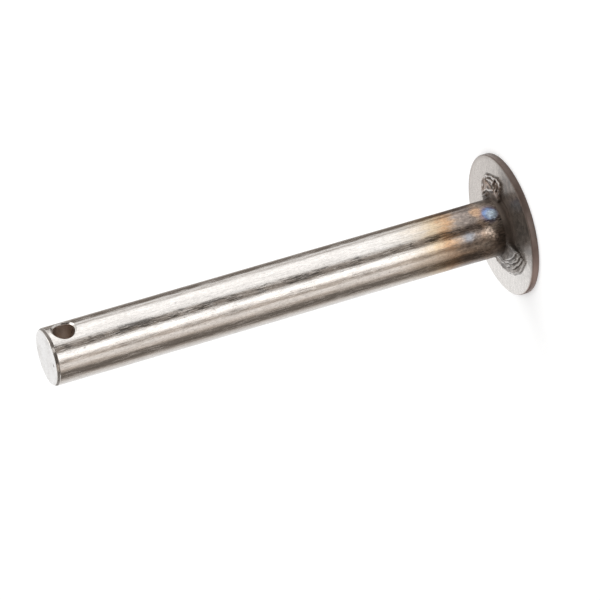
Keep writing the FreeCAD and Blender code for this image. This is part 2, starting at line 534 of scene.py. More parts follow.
def line_distance(x, y, points):
    """The distance from a place to a line through a few points."""
    distances = []
    for (x0, y0), (x1, y1) in zip(points, points[1:]):
        run_x, run_y = x1 - x0, y1 - y0
        share = ((x - x0) * run_x + (y - y0) * run_y) / (run_x ** 2 + run_y ** 2)
        share = share_between(0, 1, share)
        distances.append(math.hypot(x - x0 - share * run_x, y - y0 - share * run_y))
    return min(distances)


def folded_stitch(gap, degrees, x, y):
    """Height of the folded stitch at a gap from the bar's side."""
    reach = along_run(FOLDED_ANGLES, FOLDED_REACH, degrees) + FOLDED_DRIFT * swell(x, y, edge_waves)
    height = RIM_HEIGHT + RISE_TO_BAR * (1 - smooth_step(0.0, reach, gap))
    height += FACET_HEIGHT * (folds(x, y, fold_waves) - 0.45)
    for rise, width, points in FOLD_LINES:
        height += rise * hump(line_distance(x, y, points), 0, width)
    height += RIM_LIP * hump(gap, reach - 0.3, 0.2) + FOLDED_GRAIN * swell(x, y, small_waves)
    return max(0.0, height) * (1 - smooth_step(reach - FOLDED_EDGE, reach + FOLDED_EDGE, gap))


print("folded stitch from", FOLDED_START, "to", FOLDED_END, "degrees")

# %% [markdown]
# The height of the metal above the washer's face. Each stitch fades out quickly at
# its two ends, with an end line that wanders a little. The throat is hollow and
# runs out smoothly on the washer. The throat and the stitches are taken together
# by their highest, and outside them the melted ring is flush with the washer.

# %% Weld: the height field
THROAT_HOLLOW = 2.4
CEILING = THROAT_ON_BAR - 0.04
END_SLANT = 0.35
END_SLOPE = (-0.15, 0.3)


def run_share(degrees, start, end, gap, wander):
    """1 inside a stitch's angles, 0 outside, with a short slope at both ends."""
    arc = math.radians(1) * (BAR_RADIUS + gap)
    from_start, from_end = (degrees - start) * arc, (end - degrees) * arc
    rise = smooth_step(*END_SLOPE, from_start - wander / 2)
    return rise * smooth_step(*END_SLOPE, from_end - wander / 2)


def metal_height(radius, degrees):
    """Height of the weld above the washer's face, in millimetres."""
    x, y, _ = polar_point(radius, math.radians(degrees), 0)
    gap = radius - BAR_RADIUS
    wander = swell(y, x, edge_waves) + END_SLANT * (gap - 2.5)
    height = THROAT_ON_BAR * max(0.0, 1 - gap / THROAT_ON_WASHER) ** THROAT_HOLLOW
    wrapped = degrees - 360 if degrees > 300 else degrees
    folded = run_share(wrapped, FOLDED_START, FOLDED_END, gap, 0.3 * wander)
    layered = run_share(degrees, LAYERED_START, LAYERED_END, gap, wander)
    if folded > 0:
        height = max(height, folded * folded_stitch(gap, wrapped, x, y))
    if layered > 0:
        height = max(height, layered * layered_stitch(gap, degrees, x, y))
    return min(height, CEILING) * smooth_step(0.0, 0.2, MELT_RADIUS - radius)


print("highest place allowed above the washer", CEILING, "mm")

# %% [markdown]
# The weld's skin has narrow columns under the stitches, where the detail is, and
# wide ones elsewhere. Each column runs across the top from the washer to the bar,
# up the melted band of the bar, and back through the hidden inside.

# %% Weld: the skin
FINE_STEP = 0.33
WIDE_STEP = 1.5
TOP_STEPS = 104
END_ROOM = 4.0


def column_angles():
    """Angles of the columns in degrees, close together where there is a stitch."""
    first, second = FOLDED_START - END_ROOM, FOLDED_END + END_ROOM
    third, fourth = LAYERED_START - END_ROOM, LAYERED_END + END_ROOM
    angles = []
    for start, end, step in (
        (first, second, FINE_STEP), (second, third, WIDE_STEP),
        (third, fourth, FINE_STEP), (fourth, first + 360, WIDE_STEP),
    ):
        count = round((end - start) / step)
        angles += [(start + (end - start) * i / count) % 360 for i in range(count)]
    return angles


angles = column_angles()
radii = [MELT_RADIUS + (BAR_RADIUS - MELT_RADIUS) * i / TOP_STEPS for i in range(TOP_STEPS + 1)]
heights = [[metal_height(radius, degrees) for radius in radii] for degrees in angles]
hidden_section = [
    (BAR_RADIUS, MELT_TOP), (NECK_RADIUS, MELT_TOP), (NECK_RADIUS, ROOT_HEIGHT),
    (BORE_RADIUS, ROOT_HEIGHT), (BORE_RADIUS, MELT_FLOOR),
]

weld_points, weld_faces, columns = [], [], []
for degrees, column_heights in zip(angles, heights):
    section = [(MELT_RADIUS, MELT_FLOOR)]
    section += [(radius, WASHER_THICKNESS + height) for radius, height in zip(radii, column_heights)]
    section += hidden_section
    columns.append(range(len(weld_points), len(weld_points) + len(section)))
    weld_points += [polar_point(r, math.radians(degrees), z) for r, z in section]
for column, following in zip(columns, columns[1:] + columns[:1]):
    bridge(weld_faces, column, following)
weld = skin("weld", weld_points, weld_faces)
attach(weld, "root")
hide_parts("weld_bead")

# %% [markdown]
# Relief. The weld is coloured darker in its creases, partly for the scale that
# holds on there and partly as painted shade, and lighter on its crests as a
# painted highlight. Whether a place is a crest or a crease shows in how it stands
# above the mean of its neighbours. This is worked out once from the heights and
# kept in the mesh as a number for each point, which the weld's finish reads
# further down.

# %% Weld: relief
RELIEF_REACH = 5
RELIEF_COLUMNS = 2
RELIEF_FULL = 0.07


def relief_at(column, row):
    """From -1 in a deep crease to 1 on a high crest."""
    rows = [min(max(row + reach, 0), TOP_STEPS) for reach in (-RELIEF_REACH, 0, RELIEF_REACH)]
    near = []
    for shift in (-RELIEF_COLUMNS, 0, RELIEF_COLUMNS):
        neighbour = heights[(column + shift) % len(heights)]
        near += [neighbour[i] for i in rows]
    return min(1.0, max(-1.0, (heights[column][row] - sum(near) / len(near)) / RELIEF_FULL))


relief = []
for column in range(len(heights)):
    top = [relief_at(column, row) for row in range(TOP_STEPS + 1)]
    relief += [0.0, *top, *[0.0] * len(hidden_section)]
layer = weld.data.attributes.new("relief", "FLOAT", "POINT")
layer.data.foreach_set("value", relief)
print("relief from", round(min(relief), 2), "to", round(max(relief), 2))

# %% [markdown]
# Node helpers. A material is a tree of nodes, and adding each one by hand takes
# many lines. This small class adds a node with its settings and its inputs in one
# call. An input is a number, a colour or the output of another node. Its
# other methods are the few steps that every finish and lamp card below needs.

# %% Node helpers
class Nodes:
    """The node tree of a new material or world."""

    def __init__(self, owner):
        owner.use_nodes = True
        self.owner = owner
        self.tree = owner.node_tree
        self.tree.nodes.clear()

    def fill(self, socket, value):
        """Sets a socket to a number or colour, or links it to another node's output."""
        if isinstance(value, bpy.types.NodeSocket):
            self.tree.links.new(value, socket)
        elif hasattr(socket.default_value, "__len__") and len(socket.default_value) == 4:
            socket.default_value = (*value, 1.0)
        else:
            socket.default_value = value

    def add(self, kind, inputs, **settings):
        """Adds a node. Its inputs are given by their names or numbers."""
        node = self.tree.nodes.new("ShaderNode" + kind)
        for name, value in settings.items():
            setattr(node, name, value)
        for name, value in inputs.items():
            self.fill(node.inputs[name], value)
        return node

    def math(self, operation, *values):
        """One step of arithmetic."""
        return self.add("Math", dict(enumerate(values)), operation=operation).outputs[0]

    def times(self, first, second):
        """Two values multiplied."""
        return self.math("MULTIPLY", first, second)

    def plus(self, base, value, factor=1.0):
        """A base with a share of a value added to it."""
        return self.math("MULTIPLY_ADD", value, factor, base)

    def mix(self, factor, first, second):
        """Mixes two colours."""
        inputs = {"Factor": factor, "A": first, "B": second}
        return self.add("Mix", inputs, data_type="RGBA").outputs["Result"]

    def band(self, value, low, high, low_out=0.0, high_out=1.0):
        """Turns low to high into low_out to high_out smoothly, and holds beyond them."""
        inputs = dict(enumerate((value, low, high, low_out, high_out)))
        return self.add("MapRange", inputs, interpolation_type="SMOOTHSTEP").outputs["Result"]

    def slope(self, value, low, high):
        """Turns low to high into 0 to 1 in a straight line, and holds beyond them."""
        return self.add("MapRange", dict(enumerate((value, low, high)))).outputs["Result"]


print("node helpers ready")

# %% [markdown]
# Finishes. All three pieces are bare steel, so they share a few building blocks:
# places on the pin in millimetres, noise of a given grain, round spots with an
# uneven edge, and bumps. The noise is worked out in the solid and needs no
# unwrapped picture, so it runs on over edges without a seam.

# %% Finish helpers
class Finish(Nodes):
    """A metal material, with the pin's own places to draw on."""

    def __init__(self, name):
        super().__init__(bpy.data.materials.new(name))
        self.shader = self.add("BsdfPrincipled", {"Metallic": 1.0})
        self.add("OutputMaterial", {"Surface": self.shader.outputs["BSDF"]})
        place = self.add("TexCoord", {}).outputs["Object"]
        self.place = self.stretch(place, (1 / MM, 1 / MM, 1 / MM))
        self.across, self.along, self.height = self.add("SeparateXYZ", {0: self.place}).outputs
        self.uneven = self.sway(self.noise(1.4), 0.7)

    def stretch(self, vector, scale):
        """The place multiplied by a scale on each axis."""
        return self.add("VectorMath", {0: vector, 1: scale}, operation="MULTIPLY").outputs["Vector"]

    def tone(self, colour, factor):
        """A colour made darker or lighter by a factor."""
        inputs = {0: colour, "Scale": factor}
        return self.add("VectorMath", inputs, operation="SCALE").outputs["Vector"]

    def noise(self, scale, detail=3.0, roughness=0.55):
        """Grain between 0 and 1, with lumps per millimetre as one number or one for each axis."""
        place = self.place
        if isinstance(scale, tuple):
            place, scale = self.stretch(place, scale), 1.0
        inputs = {"Vector": place, "Scale": scale, "Detail": detail, "Roughness": roughness}
        return self.add("TexNoise", inputs).outputs["Fac"]

    def sway(self, grain, reach):
        """A grain turned into an amount from -reach to reach."""
        return self.plus(-reach, grain, 2 * reach)

    def partly(self, factor, share):
        """The factor where the share is 1, and 1 where the share is 0."""
        return self.plus(1.0, self.math("SUBTRACT", factor, 1.0), share)

    def ramp(self, value, stops):
        """Colours at given values between 0 and 1."""
        node = self.add("ValToRGB", {"Fac": value})
        elements = node.color_ramp.elements
        for i, (position, colour) in enumerate(stops):
            element = elements[i] if i < 2 else elements.new(position)
            element.position = position
            element.color = (*colour, 1.0)
        return node.outputs["Color"]

    def spot(self, centre, size, softness):
        """1 inside a round spot on the pin and 0 outside, with an uneven edge."""
        reach = self.add("VectorMath", {0: self.place, 1: centre}, operation="DISTANCE")
        distance = self.plus(reach.outputs["Value"], self.uneven)
        return self.band(distance, size, size + softness, 1.0, 0.0)

    def paint(self, below, mask, strength, colour):
        """Lays a colour over another one where a mask is."""
        return self.mix(self.times(mask, strength), below, colour)

    def distance(self, first, second):
        """The length of a line whose two parts are given."""
        return self.math("SQRT", self.plus(self.times(first, first), self.times(second, second)))

    def toward(self, degrees):
        """How far a place lies from the pin's axis toward a direction, in millimetres."""
        angle = math.radians(degrees)
        return self.plus(self.times(self.across, math.cos(angle)), self.along, math.sin(angle))

    def bump(self, height, distance, strength=1.0, below=None):
        """A normal bent by a height, with distance in millimetres."""
        inputs = {"Height": height, "Distance": distance * MM, "Strength": strength}
        if below is not None:
            inputs["Normal"] = below
        return self.add("Bump", inputs).outputs["Normal"]

    def finish(self, colour, roughness, normal, piece):
        """Links the results to the shader and puts the material on a piece."""
        results = {"Base Color": colour, "Roughness": roughness, "Normal": normal}
        for name, value in results.items():
            self.fill(self.shader.inputs[name], value)
        piece.data.materials.clear()
        piece.data.materials.append(self.owner)
        print(self.owner.name, "nodes", len(self.tree.nodes))


def on_bar(degrees, above):
    """A place on the bar's side, by its angle and its height above the washer."""
    return polar_point(BAR_RADIUS, math.radians(degrees), WASHER_THICKNESS + above)


print("the foot of the bar's side on X:", on_bar(0, 0))

# %% [markdown]
# Heat colours. Near the weld the bar went through the temper colours of steel:
# straw, gold, grey-violet, bronze, brown, and a dark scale next to the weld. Their
# order depends only on the distance from the head, so a colour ramp along the bar
# makes them. One side stayed hot for longer: it has a ramp of its own, in which
# brown and scale reach further up. Each stop is a height above the washer in
# millimetres and a colour.

# %% Heat colours
STEEL = (0.62, 0.585, 0.55)
HEAT_REACH = 32.0
BRIGHT_SIDE = (
    (0.0, (0.16, 0.128, 0.105)), (2.0, (0.23, 0.192, 0.162)), (3.2, (0.27, 0.222, 0.185)),
    (4.4, (0.28, 0.222, 0.180)), (6.0, (0.28, 0.205, 0.155)), (7.4, (0.210, 0.170, 0.146)),
    (9.4, (0.215, 0.178, 0.156)), (11.4, (0.265, 0.220, 0.190)), (12.9, (0.335, 0.238, 0.168)),
    (14.4, (0.405, 0.252, 0.146)), (17.4, (0.50, 0.395, 0.275)), (20.4, (0.545, 0.475, 0.395)),
    (24.4, (0.585, 0.545, 0.50)), (30.0, STEEL),
)
BROWN_SIDE = (
    (0.0, (0.060, 0.043, 0.032)), (2.0, (0.070, 0.051, 0.038)), (3.2, (0.078, 0.057, 0.043)),
    (4.4, (0.105, 0.077, 0.058)), (6.0, (0.14, 0.113, 0.092)), (9.4, (0.14, 0.106, 0.082)),
    (11.4, (0.185, 0.138, 0.103)), (14.4, (0.32, 0.230, 0.165)), (17.4, (0.43, 0.345, 0.270)),
    (20.4, (0.50, 0.43, 0.36)), (24.4, (0.575, 0.52, 0.465)), (30.0, STEEL),
)
print("heat colours", len(BRIGHT_SIDE), "and", len(BROWN_SIDE))

# %% [markdown]
# Heat never spreads evenly. So three noises bend the distance from the head before
# the ramps read it: one drawn out along the bar, one fine streak, and one patchy.
# The brown side lies under the bar in the photograph, opposite the lamp, and
# widens next to the head.

# %% Heat tint
def browned_share(finish, above, patch):
    """How much a place belongs to the brown side, which widens next to the head."""
    near_head = finish.band(above, 2.6, 6.0, 1.9, 0.0)
    side = finish.plus(finish.toward(-120), finish.sway(patch, 1.0))
    share = finish.band(finish.plus(side, near_head), 2.6, 4.8)
    lighter = finish.band(finish.toward(-170), 0.4, 2.4, 0.0, 0.6)
    lighter = finish.times(lighter, finish.band(above, 2.6, 5.0))
    return finish.times(share, finish.math("SUBTRACT", 1.0, lighter))


def heat_tint(finish):
    """The steel's colour along the bar, from the washer's face up."""
    waver = finish.noise((0.75, 0.75, 0.10), 3.0, 0.6)
    streak = finish.noise((3.4, 3.4, 0.45), 3.0, 0.6)
    patch = finish.noise(0.8)
    shift = finish.plus(finish.sway(waver, 3.5), finish.sway(streak, 1.6))
    shift = finish.plus(shift, finish.sway(patch, 1.2))
    above = finish.math("SUBTRACT", finish.height, WASHER_THICKNESS)
    above = finish.plus(above, shift, finish.band(above, 1.0, 12.0, 0.12, 1.0))
    value = finish.math("DIVIDE", above, HEAT_REACH)
    bright, brown = [
        finish.ramp(value, [(height / HEAT_REACH, colour) for height, colour in side])
        for side in (BRIGHT_SIDE, BROWN_SIDE)
    ]
    tint = finish.mix(browned_share(finish, above, patch), bright, brown)
    mottle = finish.band(finish.noise((1.3, 1.3, 0.91), 4.0, 0.65), 0.3, 0.7, 0.66, 1.30)
    near_head = finish.band(finish.height, 6.0, 22.0, 1.0, 0.0)
    return finish.tone(tint, finish.partly(mottle, near_head))


steel = Finish("satin_bar")
side_colour = heat_tint(steel)
print("nodes of the heat tint", len(steel.tree.nodes))

# %% [markdown]
# Patches on the bar. A blue spot with a violet ring and a pale heart sits where
# the torch was held, an orange patch beside it, a dark patch next to the folded
# stitch, and a grey-blue one further out. Such single marks could come from a
# painted picture, but a short table of spots does it with no file and stays sharp
# at any size. Each row has the place, the size and softness in millimetres, the
# strength and the colour.

# %% Bar finish: patches of heat
BLUE_SPOT = on_bar(-20, 3.8)
VIOLET_RING = (BLUE_SPOT, 1.5, 1.3, 0.70, (0.17, 0.145, 0.215))
ORANGE_PATCH = (on_bar(-8, 6.4), 0.7, 1.3, 0.65, (0.44, 0.275, 0.165))
BLUE_PATCH = (BLUE_SPOT, 1.1, 0.8, 0.92, (0.20, 0.285, 0.49))
PALE_HEART = (on_bar(-23, 3.3), 0.65, 1.0, 0.90, (0.60, 0.70, 0.80))
# A darker patch next to the folded stitch.
DARK_PATCH_BY_STITCH = (on_bar(30, 2.6), 1.7, 2.0, 0.75, (0.085, 0.066, 0.052))
GREY_BLUE_PATCH = (on_bar(-56, 10.0), 0.5, 1.3, 0.75, (0.25, 0.26, 0.285))
BAR_PATCHES = (VIOLET_RING, ORANGE_PATCH, BLUE_PATCH, PALE_HEART, DARK_PATCH_BY_STITCH, GREY_BLUE_PATCH)
# Painted glints: three small bright spots low on the bar's side.
GLEAMS = (on_bar(-52, 5.4), on_bar(-60, 4.8), on_bar(-68, 4.3))
GLEAM_COLOUR = (0.56, 0.45, 0.37)

speckle = steel.noise((3.0, 3.0, 1.35), 3.0, 0.7)
for place, size, softness, strength, colour in BAR_PATCHES:
    side_colour = steel.paint(side_colour, steel.spot(place, size, softness), strength, colour)
# Painted glints laid into the side's colour, broken by the speckle.
for place in GLEAMS:
    broken = steel.band(speckle, 0.4, 0.6, 0.25, 0.85)
    side_colour = steel.paint(side_colour, steel.spot(place, 0.15, 1.0), broken, GLEAM_COLOUR)
print("patches", len(BAR_PATCHES), "gleams", len(GLEAMS))

# %% [markdown]
# The bar's grain. Drawn bar has fine lines along its length, which smear the
# reflections into streaks. So the noise is squeezed along Z: fine across the bar
# and very long along it. It drives the colour a little, the roughness more, and
# the bump. Nicks and dark specks come from handling. Two rows of dark dashes run
# along the bar as a painted dark reflection, broken into dashes.

# %% Bar finish: grain and dashes
streaks = steel.noise((7.0, 7.0, 0.9), 4.0, 0.6)
lines = steel.noise((3.4, 3.4, 0.24), 3.0, 0.65)
clumps = steel.noise((0.45, 0.45, 0.17), 2.0, 0.5)
cloud = steel.noise(0.12)
nicks = steel.band(speckle, 0.27, 0.36, 1.0, 0.0)
fine_dashes = steel.plus(steel.noise((6.5, 6.5, 0.5), 3.0, 0.6), clumps, 0.8)


def reflection_dash_row(degrees, half_width, start):
    """Painted dark reflection as dashes in a row along the bar's side at an angle."""
    beside = steel.plus(steel.math("ABSOLUTE", steel.toward(degrees + 90)), cloud, 0.8)
    this_side = steel.band(steel.toward(degrees), 0.0, 2.0)
    row = steel.times(steel.band(fine_dashes, start, start + 0.13), this_side)
    return steel.times(row, steel.band(beside, half_width, half_width + 0.7, 1.0, 0.0))


# Painted dark reflection: two rows of dark dashes along the bar's side.
weak_reflection_row = steel.times(reflection_dash_row(-67, 0.7, 0.90), 0.45)
dashes = steel.math("MAXIMUM", reflection_dash_row(-38.5, 0.85, 0.88), weak_reflection_row)
# This tone holds the real grain, nicks and specks, and the painted reflection dashes.
shade = steel.plus(0.87, streaks, 0.3)
for mark, low, high, low_tone, high_tone in (
    (speckle, 0.25, 0.75, 0.86, 1.12), (lines, 0.3, 0.7, 0.88, 1.16),
    (nicks, 0.0, 1.0, 1.0, 0.6), (dashes, 0.0, 1.0, 1.0, 0.34),
):
    shade = steel.times(shade, steel.band(mark, low, high, low_tone, high_tone))
flecks = steel.band(speckle, 0.35, 0.65, 0.78, 1.20)
shade = steel.times(shade, steel.partly(flecks, steel.band(steel.height, 6.0, 20.0, 1.0, 0.0)))
side_colour = steel.tone(side_colour, shade)
print("nodes of the bar's side", len(steel.tree.nodes))

# %% [markdown]
# The free end and the hole. The cut end is matt and pale, with one small dark dot.
# The bevel is a tool-cut band, darkened as painted shade, with two painted glints,
# and the bore is brown from cutting oil and scale. These parts could be separate
# materials on their own faces, but masks made from the height and the distance to
# the hole keep the bar in one material, whose grain runs on.

# %% Bar finish: free end and hole
CUT_STEEL = ((0.62, 0.60, 0.58), (0.71, 0.69, 0.67))
DOT_PLACE, DOT_COLOUR = (0.73, -4.1, BAR_LENGTH), (0.09, 0.065, 0.05)
# The bevel's steel is darkened as painted shade, and its two glints are painted highlights.
BEVEL_SHADE_STEEL = ((0.17, 0.150, 0.135), (0.33, 0.300, 0.275))
BEVEL_GLINTS = ((-40, 0.2, (0.85, 0.81, 0.77)), (-76, 0.6, (0.85, 0.76, 0.67)))
GLINT_RADIUS = 6.17
BORE_STEEL = ((0.50, 0.41, 0.35), (0.68, 0.60, 0.54))

grain = steel.noise(2.6, 5.0, 0.7)
end_mask = steel.band(steel.height, BAR_LENGTH - 0.02, BAR_LENGTH - 0.004)
end_colour = steel.mix(steel.band(grain, 0.35, 0.7), *CUT_STEEL)
end_colour = steel.mix(steel.spot(DOT_PLACE, 0.0, 0.5), end_colour, DOT_COLOUR)

bevel = steel.times(
    steel.band(steel.height, free_bevel + 0.04, free_bevel + 0.14),
    steel.band(steel.height, BAR_LENGTH - 0.10, BAR_LENGTH - 0.05, 1.0, 0.0),
)
# Painted shade and painted glints on the bevel.
bevel_shade_and_glints = steel.mix(grain, *BEVEL_SHADE_STEEL)
for degrees, size, shine in BEVEL_GLINTS:
    place = polar_point(GLINT_RADIUS, math.radians(degrees), BAR_LENGTH - 0.3)
    bevel_shade_and_glints = steel.mix(steel.spot(place, size, 0.6), bevel_shade_and_glints, shine)
colour = steel.mix(end_mask, steel.mix(bevel, side_colour, bevel_shade_and_glints), end_colour)

mouth_radius = HOLE_RADIUS + HOLE_BEVEL
from_hole = steel.distance(steel.math("SUBTRACT", steel.height, HOLE_HEIGHT), steel.along)
in_bore = steel.band(from_hole, HOLE_RADIUS + 0.02, HOLE_RADIUS + 0.12, 1.0, 0.0)
on_mouth = steel.band(from_hole, mouth_radius - 0.05, mouth_radius + 0.03, 1.0, 0.0)
# Painted shade: the upper side of the hole's bevelled mouth is darkened.
shaded_upper_mouth = steel.times(on_mouth, steel.band(steel.along, 0.2, 1.6))
colour = steel.tone(colour, steel.band(shaded_upper_mouth, 0.0, 1.0, 1.0, 0.6))
colour = steel.mix(in_bore, colour, steel.mix(grain, *BORE_STEEL))
print("nodes of the bar's colour", len(steel.tree.nodes))

# %% [markdown]
# The bar's gloss. Scratched lines are much rougher than the metal between them, so
# they look light in a dark reflection and dull in a bright one. Scale near the
# head, the bevel, the cut end and the bore are rougher too. The bumps go from broad
# facets to fine streaks, each only a few thousandths of a millimetre high.

# %% Bar finish: gloss and bumps
scratched = steel.band(steel.plus(lines, clumps, 0.5), 0.74, 0.88)
facets = steel.noise((1.3, 1.3, 0.12), 2.5, 0.5)
roughness = steel.plus(0.04, streaks, 0.12)
roughness = steel.plus(roughness, steel.band(steel.height, 4.0, 12.0, 0.26, 0.0))
for mask, rougher in (
    (scratched, 0.24), (bevel, 0.32), (nicks, 0.20), (end_mask, 0.22), (in_bore, 0.25),
):
    roughness = steel.plus(roughness, mask, rougher)
on_side = steel.math("SUBTRACT", 1.0, steel.math("MAXIMUM", end_mask, in_bore))
normal = steel.bump(steel.times(facets, on_side), 0.022)
normal = steel.bump(steel.times(lines, on_side), 0.009, 1.0, normal)
normal = steel.bump(steel.times(streaks, on_side), 0.0035, 1.0, normal)
normal = steel.bump(speckle, 0.0040, 1.0, normal)
normal = steel.bump(cloud, 0.12, 0.3, normal)
steel.fill(steel.shader.inputs["Metallic"], steel.band(steel.height, MELT_TOP, 14.0, 0.9, 1.0))
steel.finish(colour, roughness, normal, bar)

# %% [markdown]
# The washer's finish. The face is satin sheet, paler on one side and brushed one
# way. Smoke has dulled the part that no stitch lies on: it is a wedge by its angle
# round the pin, with two soft patches and some smudges. The outer edge and a soft
# ring round the weld are browned by heat, but the edge is left pale on the side
# where the rim catches the light, as a painted highlight. Smoke is no metal, so
# the shader's metallic share goes down there. The weld's melted ring uses the same
# colours, so this is a function that both finishes call.

# %% Washer finish: the face
SATIN_COLOURS = ((0.60, 0.565, 0.53), (0.43, 0.388, 0.353))
EDGE_COLOURS = ((0.20, 0.155, 0.13), (0.07, 0.052, 0.04))
WARM_COLOUR = (0.165, 0.122, 0.094)
SMOKE_COLOUR = (0.088, 0.064, 0.048)
SMOKE_SIDE = -46
SMOKE_PATCHES = (
    ((12.5, -3.3, WASHER_THICKNESS), 0.5), ((3.2, -13.5, WASHER_THICKNESS), 0.35),
)


def smoked_share(finish, radius, uneven):
    """How much smoke lies on a place, by its angle round the pin."""
    facing = finish.math("DIVIDE", finish.toward(SMOKE_SIDE), radius)
    facing = finish.plus(facing, uneven, 0.04)
    thick = finish.band(facing, 0.52, 0.86, 0.0, 0.74)
    return finish.plus(thick, finish.band(facing, -0.3, 0.8, 0.0, 0.26))


def plate_colours(finish):
    """Colour, roughness and normal of the washer's face, and the distance from the axis."""
    fine = finish.noise(2.4, 5.0, 0.65)
    soft = finish.noise(0.3)
    brushed = finish.noise((0.5, 2.2, 1.0), 3.0, 0.6)
    uneven = finish.sway(soft, 1.5)
    radius = finish.distance(finish.across, finish.along)
    smoked = smoked_share(finish, radius, uneven)
    duller_side = finish.band(finish.plus(finish.toward(40), uneven, 2.0), -8.0, 6.0)
    face = finish.mix(duller_side, *SATIN_COLOURS)
    face = finish.paint(face, smoked, 0.80, SMOKE_COLOUR)
    for centre, strength in SMOKE_PATCHES:
        face = finish.paint(face, finish.spot(centre, 0.9, 2.4), strength, SMOKE_COLOUR)
    smudges = finish.band(finish.noise(0.9, 4.0, 0.65), 0.35, 0.7, 0.72, 1.45)
    face = finish.tone(face, finish.partly(smudges, smoked))
    face = finish.tone(face, finish.band(fine, 0.3, 0.75, 1.06, 0.86))
    face = finish.tone(face, finish.band(brushed, 0.3, 0.7, 1.06, 0.92))
    edge = finish.band(finish.plus(radius, uneven, 0.3), 14.6, 15.9, 0.0, 0.55)
    # Painted highlight: the edge's browning is left out where the rim catches the light.
    edge = finish.times(edge, finish.band(finish.toward(180), 2.0, 9.0, 1.0, 0.1))
    face = finish.mix(edge, face, finish.mix(smoked, *EDGE_COLOURS))
    warmth = finish.band(finish.plus(radius, uneven), 6.6, 10.5, 0.65, 0.0)
    face = finish.mix(warmth, face, WARM_COLOUR)
    roughness = finish.plus(finish.plus(0.12, fine, 0.14), smoked, 0.10)
    normal = finish.bump(soft, 0.05, 0.5, finish.bump(fine, 0.006))
    finish.fill(finish.shader.inputs["Metallic"], finish.band(smoked, 0.0, 1.0, 0.95, 0.66))
    return face, roughness, normal, radius


plate = Finish("satin_plate")
face, roughness, normal, radius = plate_colours(plate)
print("nodes of the washer's face", len(plate.tree.nodes))

# %% [markdown]
# The washer's rim was sheared by the punch. It is browner and rougher than the
# face, redder toward one side and paler toward the other, where its rolled edge
# catches the light as a painted highlight, so two directions mix its colour.

# %% Washer finish: the rim
RIM_BROWNS = ((0.095, 0.066, 0.053), (0.17, 0.130, 0.112))
# The paler rim colour below is a painted highlight on the rolled edge.
RIM_HIGHLIGHT_COLOUR = (0.50, 0.47, 0.44)
RED_RIM = (0.34, 0.245, 0.215)

rim = plate.band(radius, 15.60, 15.84)
# Painted highlight: the rim is paler on the side where its rolled edge catches the light.
rim_highlight_side = plate.band(plate.toward(150), 2.0, 11.0, 0.0, 0.8)
red_side = plate.band(plate.toward(-150), 1.0, 12.0, 0.0, 0.65)
rim_colour = plate.mix(plate.noise(0.8, 4.0), *RIM_BROWNS)
rim_colour = plate.mix(rim_highlight_side, rim_colour, RIM_HIGHLIGHT_COLOUR)
rim_colour = plate.mix(red_side, rim_colour, RED_RIM)
plate.finish(plate.mix(rim, face, rim_colour), plate.plus(roughness, rim, 0.2), normal, washer)

# %% [markdown]
# The weld's finish. The relief that the mesh keeps drives the colour: scale and
# painted shade in the creases, grey metal between, and a painted highlight on the
# crests. One stitch is browner, and a fine grit breaks up both. Where the melted
# ring is flush with the washer it takes the washer's colour, and a dark line of
# scale and painted shade follows the foot of the stitches.

# %% Weld finish: stitches
GREY_METAL = ((0.175, 0.154, 0.138), (0.32, 0.288, 0.264))
BROWN_METAL = (0.200, 0.150, 0.120)
# The crest colour is a painted highlight, and the scale colour also serves as painted shade.
CREST_HIGHLIGHT_METAL = (0.66, 0.63, 0.605)
SCALE_AND_SHADE_COLOUR = (0.06, 0.047, 0.038)

bead = Finish("weld_metal")
face, roughness, normal, radius = plate_colours(bead)
relief_share = bead.add("Attribute", {}, attribute_name="relief").outputs["Fac"]
above_face = bead.math("SUBTRACT", bead.height, WASHER_THICKNESS)
raised = bead.band(above_face, 0.02, 0.14)
patchy = bead.noise(0.6)
grit = bead.noise(2.6, 4.0, 0.7)

metal = bead.mix(bead.band(radius, 9.0, 11.2), *GREY_METAL)
metal = bead.mix(bead.band(bead.toward(30), -4.0, 5.0), metal, BROWN_METAL)
metal = bead.tone(metal, bead.band(patchy, 0.35, 0.65, 0.62, 1.35))
metal = bead.tone(metal, bead.band(grit, 0.3, 0.7, 0.6, 1.4))
# Scale and painted shade in the creases, and a painted highlight on the crests.
metal = bead.mix(bead.band(relief_share, -0.8, -0.05, 0.85, 0.0), metal, SCALE_AND_SHADE_COLOUR)
crest = bead.times(bead.band(relief_share, 0.25, 1.0), bead.band(grit, 0.35, 0.6, 0.25, 0.8))
metal = bead.mix(crest, metal, CREST_HIGHLIGHT_METAL)
colour = bead.mix(raised, face, metal)

# Scale and painted shade: a dark line along the foot of the stitches.
foot_line = bead.times(bead.band(relief_share, -0.7, -0.1, 0.6, 0.0), bead.band(radius, 7.4, 7.9))
foot_line = bead.times(foot_line, bead.band(bead.toward(130), -11.0, -2.0, 0.5, 1.0))
colour = bead.mix(foot_line, colour, SCALE_AND_SHADE_COLOUR)
print("nodes of the stitches", len(bead.tree.nodes))

# %% [markdown]
# Against the bar the weld takes the dark end of the heat colours, so the three
# pieces look like one. This collar of scale is wider on one side, a little
# lighter where the lamp reaches it, and rusty in places.

# %% Weld finish: scale beside the bar
COLLAR_COLOURS = ((0.068, 0.050, 0.038), (0.17, 0.137, 0.113))
RUST_COLOUR = (0.14, 0.092, 0.070)

